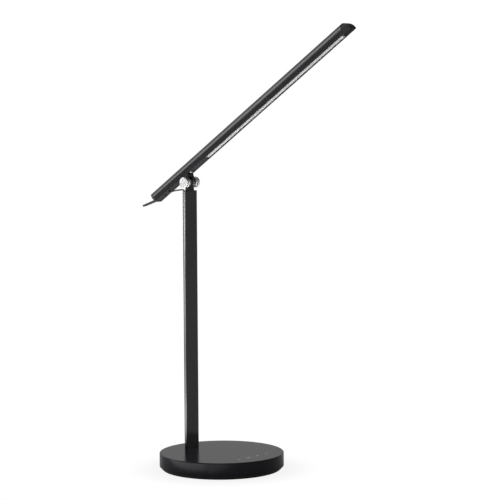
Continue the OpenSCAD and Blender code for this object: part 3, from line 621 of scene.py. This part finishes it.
def fork():
    """Black bracket under the bar: two ears on the axle, a neck, and a block in the bar's channel."""
    front, back = tangent_point(-7, AXIS_DROP, KNUCKLE_R, 1), tangent_point(6, AXIS_DROP, KNUCKLE_R, -1)
    bm = bmesh.new()
    start = bm.verts.new((0, *front))
    turn = math.degrees(math.atan2(back[1], back[0]) - math.atan2(front[1], front[0])) % 360
    last = arc(bm, start, (0, 0, 0), (1, 0, 0), turn, 40)
    corners = [bm.verts.new((0, 6, AXIS_DROP + 0.7)), bm.verts.new((0, -7, AXIS_DROP + 0.7))]
    for a, b in ((last, corners[0]), (corners[0], corners[1]), (corners[1], start)):
        bm.edges.new((a, b))
    bmesh.ops.contextual_create(bm, geom=bm.edges[:])
    push(bm, (2 * EAR[1], 0, 0))
    bmesh.ops.translate(bm, vec=(-EAR[1], 0, 0), verts=bm.verts)
    slot = box((-EAR[0], -20, -20), (EAR[0], 20, 5.5))
    bore = rod(2.05, 20, Matrix.Translation((-10, 0, 0)) @ Matrix.Rotation(math.pi / 2, 4, "Y"), 48)
    lips = [box((x, -20, AXIS_DROP), (x + 3.3, 20, AXIS_DROP + 2)) for x in (4.7, -8)]
    bm = combine(bm, "DIFFERENCE", slot, bore, *lips)
    soften_sharp(bm, 0.35, 3, 40, lambda e: max(v.co.z for v in e.verts) < AXIS_DROP - 0.1)
    block = box((-4.7, -BLOCK_HALF, AXIS_DROP + 0.6), (4.7, BLOCK_HALF, AXIS_DROP + 7.9))
    holes = [rod(1.6, 12, Matrix.Translation((0, side * SCREW_Y, AXIS_DROP - 1)), 32) for side in (1, -1)]
    block = combine(block, "DIFFERENCE", *holes)
    soften_sharp(block, 0.2, 2, 60)
    return piece("fork", add_to(bm, block), "head_bracket", "head", HEAD)


def hinge_cap(name, node, side):
    """Turned aluminium cap with a fine chamfer, a groove round its wall and a shallow dish in its face."""
    bm = lathe([(0, CAP_T - 0.12), (5.2, CAP_T - 0.12), (5.35, CAP_T), (CAP_R, CAP_T), (CAP_R, 4.6),
                (CAP_R - 0.28, 4.4), (CAP_R - 0.28, 2.2), (CAP_R, 2.0), (CAP_R, 0), (4.1, 0), (4.1, 4.9), (0, 4.9)],
               {3: 0.45, 4: 0.1, 7: 0.1, 8: 0.3}, steps=96)
    turn = Matrix.Rotation(math.radians(90 * side), 4, "Y")
    return piece(name, bm, node, "head", HEAD @ Matrix.Translation((side * EAR[1], 0, 0)) @ turn)


def pan_screws():
    """Two bright pan-head screws that hold the fork in the bar."""
    bm = bmesh.new()
    for side in (1, -1):
        screw = lathe([(0, -1.0), (1.5, -1.0), (2.4, -0.35), (2.4, 0.6), (1.45, 0.6), (1.45, 10.9), (0, 10.9)],
                      {1: 0.4, 2: 0.35, 3: 0.1}, steps=48)
        bars = [box((-1.25, -0.28, -2), (1.25, 0.28, -0.1)), box((-0.28, -1.25, -2), (0.28, 1.25, -0.1))]
        screw = combine(screw, "DIFFERENCE", *bars)
        bmesh.ops.translate(screw, vec=(0, side * SCREW_Y, 0), verts=screw.verts)
        add_to(bm, screw)
    return piece("pan_screws", bm, "neck_screws", "head", BAR)


def hinge_cable():
    """Thin round cable from the column's top into the bar, curving across the hinge."""
    spline_data = bpy.data.curves.new("hinge_wire", "CURVE")
    spline_data.dimensions = "3D"
    spline_data.bevel_depth = CABLE_D / 2 * MM
    spline_data.bevel_resolution = 5
    spline_data.resolution_u = 6
    spline_data.use_fill_caps = True
    spline = spline_data.splines.new("NURBS")
    spline.points.add(len(CABLE_ROUTE) - 1)
    for point, place in zip(spline.points, CABLE_ROUTE):
        point.co = (*((HINGE + Vector(place)) * MM), 1.0)
    spline.use_endpoint_u = True
    spline.order_u = 4
    curve = bpy.data.objects.new("hinge_wire_path", spline_data)
    bpy.context.scene.collection.objects.link(curve)
    mesh = bpy.data.meshes.new_from_object(curve.evaluated_get(bpy.context.evaluated_depsgraph_get()))
    bm = bmesh.new()
    bm.from_mesh(mesh)
    bpy.data.objects.remove(curve)
    bpy.data.meshes.remove(mesh)
    bmesh.ops.remove_doubles(bm, verts=bm.verts[:], dist=1e-6)
    bm.transform(Matrix.Scale(1 / MM, 4))
    obj = piece("hinge_wire", bm, "hinge_cable", None, smooth=60)
    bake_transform(obj)
    return obj


# ---------------------------------------------------------------- light bar

def arch_half(bm, inset, floor):
    """Right half of the arched outline, from the crown down to the given height; returns its last vertex."""
    off = ARC_R - BAR_W / 2
    lean = math.acos(off / (ARC_R - CROWN_R))
    rise = (ARC_R - CROWN_R) * math.sin(lean)
    top = bm.verts.new((0, 0, BAR_SIDE_H + rise + CROWN_R - inset))
    shoulder = arc(bm, top, (0, 0, BAR_SIDE_H + rise), (0, 1, 0), 90 - math.degrees(lean), 8)
    low = math.asin(max(0.0, floor - BAR_SIDE_H) / (ARC_R - inset))
    return arc(bm, shoulder, (-off, 0, BAR_SIDE_H), (0, 1, 0), math.degrees(lean - low), 12)


def bar_section():
    """Arched section, open below, with two grooves for the diffuser and a closed hollow above the web."""
    half = BAR_W / 2
    inner, groove = half - BAR_WALL, half - BAR_WALL / 2
    bm = bmesh.new()
    side = arch_half(bm, 0.0, BAR_SIDE_H)
    rest = chain(bm, [(half, 0, 0), (inner, 0, 0), (inner, 0, GROOVE[0]), (groove, 0, GROOVE[0]),
                      (groove, 0, GROOVE[1]), (inner, 0, GROOVE[1]), (inner, 0, WEB[0]), (0, 0, WEB[0])])
    bm.edges.new((side, rest[0]))
    soften(bm, [rest[0]], 0.35, 4, "VERTICES")
    soften(bm, [v for v in bm.verts if (v.co - Vector((inner, 0, 0))).length < 1e-4], 0.2, 3, "VERTICES")
    hollow = arch_half(bm, BAR_WALL, WEB[1])
    bm.edges.new((hollow, bm.verts.new((0, 0, WEB[1]))))
    mirrored(bm)
    bmesh.ops.triangle_fill(bm, use_beauty=True, use_dissolve=False, edges=bm.edges[:])
    return bm


def arch_face(inset=0.0, corner=0.35):
    """The outline of the bar as one flat face."""
    bm = bmesh.new()
    side = arch_half(bm, inset, BAR_SIDE_H)
    foot = chain(bm, [(BAR_W / 2 - inset, 0, inset), (0, 0, inset)])
    bm.edges.new((side, foot[0]))
    if corner:
        soften(bm, [foot[0]], corner, 4, "VERTICES")
    mirrored(bm)
    bmesh.ops.contextual_create(bm, geom=bm.edges[:])
    return bm


def bar_profile():
    bm = bar_section()
    push(bm, (0, -(TAIL_LEN + FRONT_LEN), 0))
    bmesh.ops.translate(bm, vec=(0, TAIL_LEN, 0), verts=bm.verts)
    return piece("bar_profile", bm, "head_profile", "head", BAR, smooth=25)


def strip(name, node, start, end, low):
    """Flat strip with two wings in the bar's grooves."""
    half, wing = BAR_W / 2 - BAR_WALL - 0.1, BAR_W / 2 - BAR_WALL / 2 - 0.05
    level = GROOVE[0] + 0.05
    points = [(half, low), (half, level), (wing, level), (wing, GROOVE[1] - 0.05)]
    points += [(-x, z) for x, z in reversed(points)]
    rounds = {0: 0.15, 7: 0.15} if low < level - 0.3 else {}
    if not rounds:
        points = [(wing, level), (wing, GROOVE[1] - 0.05), (-wing, GROOVE[1] - 0.05), (-wing, level)]
    bm = closed_outline(points, rounds)
    push(bm, (0, end - start, 0))
    bmesh.ops.translate(bm, vec=(0, start, 0), verts=bm.verts)
    if node == "rear_cover_strip":
        oval = push(stadium_face(13, CABLE_D + 0.8, -2), (0, 0, 8))
        oval.transform(Matrix.Translation((0, 41, 0)) @ Matrix.Rotation(math.pi / 2, 4, "Z"))
        bm = combine(bm, "DIFFERENCE", oval)
        soften_sharp(bm, 0.15, 2, 60, lambda e: all(v.co.z < low + 0.01 and abs(v.co.x) < 3 for v in e.verts))
    return piece(name, bm, node, "head", BAR)


def nose():
    """Black end of the bar, rounded down to the tip."""
    radius = BAR_SIDE_H + 9.29
    bm = arch_face(corner=0.5)
    push(bm, (0, -(NOSE_LEN + 1), 0))
    bmesh.ops.translate(bm, vec=(0, -FRONT_LEN, 0), verts=bm.verts)
    dome = rod(radius, 30, Matrix.Translation((-15, -FRONT_LEN - NOSE_LEN + radius, 0))
               @ Matrix.Rotation(math.pi / 2, 4, "Y"), 256)
    bm = combine(bm, "INTERSECT", dome)
    tip = [e for e in bm.edges if all(v.co.z < 1e-3 and v.co.y < -FRONT_LEN - NOSE_LEN + 0.05 for v in e.verts)]
    soften(bm, tip, 1.8, 6)
    soften_sharp(bm, 0.7, 4, 30, lambda e: min(v.co.y for v in e.verts) < -FRONT_LEN - 0.3)
    foot = box((-BAR_W / 2 + BAR_WALL + 0.1, -FRONT_LEN, 0.2), (BAR_W / 2 - BAR_WALL - 0.1, -FRONT_LEN + 4.5, 7.9))
    soften_sharp(foot, 0.2, 2, 60)
    return piece("nose", add_to(bm, foot), "nose_cap", "head", BAR, NOSE_FINISH)


def tail():
    """Black end plate of the bar, its face leaning back to the crown, with a thin finger tab."""
    thin, lean, edge = 2.0, math.radians(16), 1.1
    plate = arch_face()
    push(plate, (0, thin + BAR_H * math.tan(lean) + 1, 0))
    cut = bmesh.ops.bisect_plane(plate, geom=plate.verts[:] + plate.edges[:] + plate.faces[:], dist=1e-5,
                                 plane_co=(0, thin, 0), plane_no=(0, math.cos(lean), -math.sin(lean)), clear_outer=True)
    rim = [part for part in cut["geom_cut"] if isinstance(part, bmesh.types.BMEdge)]
    bmesh.ops.contextual_create(plate, geom=rim)
    soften(plate, [e for e in rim if max(v.co.z for v in e.verts) > 1], edge, 5)
    bmesh.ops.translate(plate, vec=(0, TAIL_LEN, 0), verts=plate.verts)
    tab = bmesh.new()
    root, tip, length, thick, turn = BAR_W / 2 - 1.75, 3.0, 29.0, 2.2, math.radians(15)
    corners = chain(tab, [(root, 0, 0), (tip, length - tip, 0)])
    arc(tab, corners[1], (0, length - tip, 0), (0, 0, 1), 90, 10)
    mirrored(tab)
    ends = [v for v in tab.verts if abs(v.co.y) < 1e-4]
    tab.edges.new(ends)
    bmesh.ops.contextual_create(tab, geom=tab.edges[:])
    bmesh.ops.inset_region(tab, faces=tab.faces[:], thickness=0.9, depth=0.0, use_boundary=True, use_even_offset=True)
    push(tab, (0, 0, thick))
    for z, way in ((thick, -0.35), (0.0, 0.25)):
        dish = [v for v in tab.verts if abs(v.co.z - z) < 1e-4 and len(v.link_edges) > 0
                and all(abs(e.other_vert(v).co.z - z) < 1e-4 for e in v.link_edges)]
        bmesh.ops.translate(tab, vec=(0, 0, way), verts=dish)
    soften_sharp(tab, 0.45, 3, 60, lambda e: e.calc_length() > 0)
    tab.transform(Matrix.Translation((0, TAIL_LEN + thick * math.sin(turn), 1.2)) @ Matrix.Rotation(turn, 4, "X"))
    return piece("tail", add_to(plate, tab), "tail_cap", "head", BAR)


base_body()
foot_ring()
key_signs()
column()
yoke()
fork()
hinge_cap("near_cap", "near_hinge_cap", -1)
hinge_cap("far_cap", "far_hinge_cap", 1)
pan_screws()
bar_profile()
strip("rear_strip", "rear_cover_strip", BLOCK_HALF + 0.1, TAIL_LEN, 0.2)
strip("front_strip", "front_cover_strip", -LIGHT_START + 0.1, -BLOCK_HALF - 0.1, 0.2)
strip("diffuser_sheet", "diffuser", -LIGHT_END, -LIGHT_START, GROOVE[0] + 0.05)
nose()
tail()
hinge_cable()

for node, slot in SLOT_OF.items():
    materials = frame["nodes"][node].data.materials
    materials.clear()
    materials.append(FINISHES[slot].material)


# ---------------------------------------------------------------- studio

def camera():
    data = bpy.data.cameras.new("camera")
    data.sensor_width, data.lens = 36.0, 144.0
    obj = bpy.data.objects.new("camera", data)
    bpy.context.scene.collection.objects.link(obj)
    yaw, pitch, roll = (math.radians(a) for a in (-48.716, -4.9547, -0.3192))
    ahead = Vector((-math.sin(yaw), math.cos(yaw), 0))
    right = Vector((math.cos(yaw), math.sin(yaw), 0))
    look = ahead * math.cos(pitch) + Vector((0, 0, math.sin(pitch)))
    up = -ahead * math.sin(pitch) + Vector((0, 0, math.cos(pitch)))
    side, over = right * math.cos(roll) + up * math.sin(roll), up * math.cos(roll) - right * math.sin(roll)
    turn = Matrix((side, over, -look)).transposed().to_4x4()
    obj.matrix_world = Matrix.Translation((-1.88685, -1.70715, 0.50251)) @ turn
    data.clip_start, data.clip_end = 0.05, 60.0
    bpy.context.scene.camera = obj
    return look


def panel(name, direction, elevation, distance, size, radiance, aim=(0, 0.03, 0.35)):
    """Soft light of an even brightness; direction is in degrees round z from +x."""
    a, e = math.radians(direction), math.radians(elevation)
    way = Vector((math.cos(a) * math.cos(e), math.sin(a) * math.cos(e), math.sin(e)))
    light = bpy.data.lights.new(name, "AREA")
    light.shape, light.size, light.size_y = "RECTANGLE", *size
    light.energy = radiance * math.pi * size[0] * size[1]
    obj = bpy.data.objects.new(name, light)
    bpy.context.scene.collection.objects.link(obj)
    obj.matrix_world = (Matrix.Translation(Vector(aim) + way * distance)
                        @ (-way).to_track_quat("-Z", "Y").to_matrix().to_4x4())
    obj.visible_camera = False
    return obj


def low_light(name, x, y, size, radiance):
    """Soft square light that lies on the table top and shines upwards."""
    return panel(name, 0, -90, 0.3, (size, size), radiance, aim=(x, y, 0.303))


def white_room(look):
    """White to the camera; in reflections white behind the lamp and dim elsewhere."""
    world = bpy.data.worlds.new("room")
    bpy.context.scene.world = world
    world.use_nodes = True
    tree = world.node_tree
    nodes, links = tree.nodes, tree.links
    nodes.clear()
    out = nodes.new("ShaderNodeOutputWorld")
    rays = nodes.new("ShaderNodeLightPath")
    where = nodes.new("ShaderNodeTexCoord")
    dot = nodes.new("ShaderNodeVectorMath")
    dot.operation = "DOT_PRODUCT"
    dot.inputs[1].default_value = Vector((look.x, look.y, 0)).normalized()
    links.new(where.outputs["Generated"], dot.inputs[0])
    fade = nodes.new("ShaderNodeMapRange")
    fade.interpolation_type = "SMOOTHSTEP"
    for socket, value in zip(fade.inputs[1:5], (0.3, 0.75, ROOM_DIM, ROOM_BACK)):
        socket.default_value = value
    links.new(dot.outputs["Value"], fade.inputs[0])
    seen = nodes.new("ShaderNodeMapRange")
    for socket, value in zip(seen.inputs[1:4], (0.0, 1.0, ROOM_FILL)):
        socket.default_value = value
    glossy = nodes.new("ShaderNodeMath")
    glossy.operation = "MAXIMUM"
    links.new(rays.outputs["Is Glossy Ray"], glossy.inputs[0])
    links.new(rays.outputs["Is Transmission Ray"], glossy.inputs[1])
    links.new(glossy.outputs[0], seen.inputs[0])
    links.new(fade.outputs[0], seen.inputs[4])
    sight = nodes.new("ShaderNodeMapRange")
    sight.inputs[4].default_value = 1.0
    links.new(rays.outputs["Is Camera Ray"], sight.inputs[0])
    links.new(seen.outputs[0], sight.inputs[3])
    back = nodes.new("ShaderNodeBackground")
    back.inputs[0].default_value = (1, 1, 1, 1)
    links.new(sight.outputs[0], back.inputs[1])
    links.new(back.outputs[0], out.inputs[0])


def pale_floor():
    """White table top; away from the lamp the camera sees it as plain white."""
    bm = bmesh.new()
    bmesh.ops.create_grid(bm, x_segments=1, y_segments=1, size=15.0)
    bmesh.ops.translate(bm, vec=(0, 0, -0.0002), verts=bm.verts)
    mesh = bpy.data.meshes.new("table_top")
    bm.to_mesh(mesh)
    bm.free()
    obj = bpy.data.objects.new("table_top", mesh)
    bpy.context.scene.collection.objects.link(obj)
    material = bpy.data.materials.new("table_white")
    material.use_nodes = True
    tree = material.node_tree
    nodes, links = tree.nodes, tree.links
    shader = nodes["Principled BSDF"]
    shader.inputs["Base Color"].default_value = (0.7, 0.7, 0.7, 1)
    shader.inputs["Roughness"].default_value = 0.9
    shader.inputs["Specular IOR Level"].default_value = 0.0
    place = nodes.new("ShaderNodeTexCoord")
    length = nodes.new("ShaderNodeVectorMath")
    length.operation = "LENGTH"
    links.new(place.outputs["Object"], length.inputs[0])
    near = nodes.new("ShaderNodeMapRange")
    near.interpolation_type = "SMOOTHSTEP"
    for socket, value in zip(near.inputs[1:5], (0.079, 0.13, FLOOR_NEAR, 1.0)):
        socket.default_value = value
    links.new(length.outputs["Value"], near.inputs[0])
    rays = nodes.new("ShaderNodeLightPath")
    factor = nodes.new("ShaderNodeMath")
    factor.operation = "MULTIPLY"
    links.new(rays.outputs["Is Camera Ray"], factor.inputs[0])
    links.new(near.outputs[0], factor.inputs[1])
    white = nodes.new("ShaderNodeEmission")
    white.inputs[0].default_value = (1, 1, 1, 1)
    mix = nodes.new("ShaderNodeMixShader")
    links.new(factor.outputs[0], mix.inputs[0])
    links.new(shader.outputs[0], mix.inputs[1])
    links.new(white.outputs[0], mix.inputs[2])
    links.new(mix.outputs[0], nodes["Material Output"].inputs["Surface"])
    mesh.materials.append(material)


ROOM_DIM, ROOM_BACK, ROOM_FILL = 0.1, 0.48, 0.38
FLOOR_NEAR = 0.88

look = camera()
white_room(look)
pale_floor()
panel("rear_panel", 98, 22, 3.0, (1.2, 1.2), 0.8)
panel("rim_panel", 120, 21, 3.0, (1.17, 1.4), 5.2)
panel("front_panel", 318, 14, 2.5, (1.8, 1.2), 0.4)
low_light("close_light", -0.27, 0.1, 0.3, 2.7)
low_light("corner_light", -0.25, -0.2, 0.3, 1.2)
low_light("near_light", -0.62, 0.0, 0.8, 5.4)
low_light("left_light", -2.3, -0.1, 2.4, 7.2)
low_light("far_light", -5.4, -0.7, 4.0, 22.0)
low_light("side_light", -2.2, -5.2, 4.0, 6.0)
bpy.context.scene.view_settings.view_transform = "Standard"
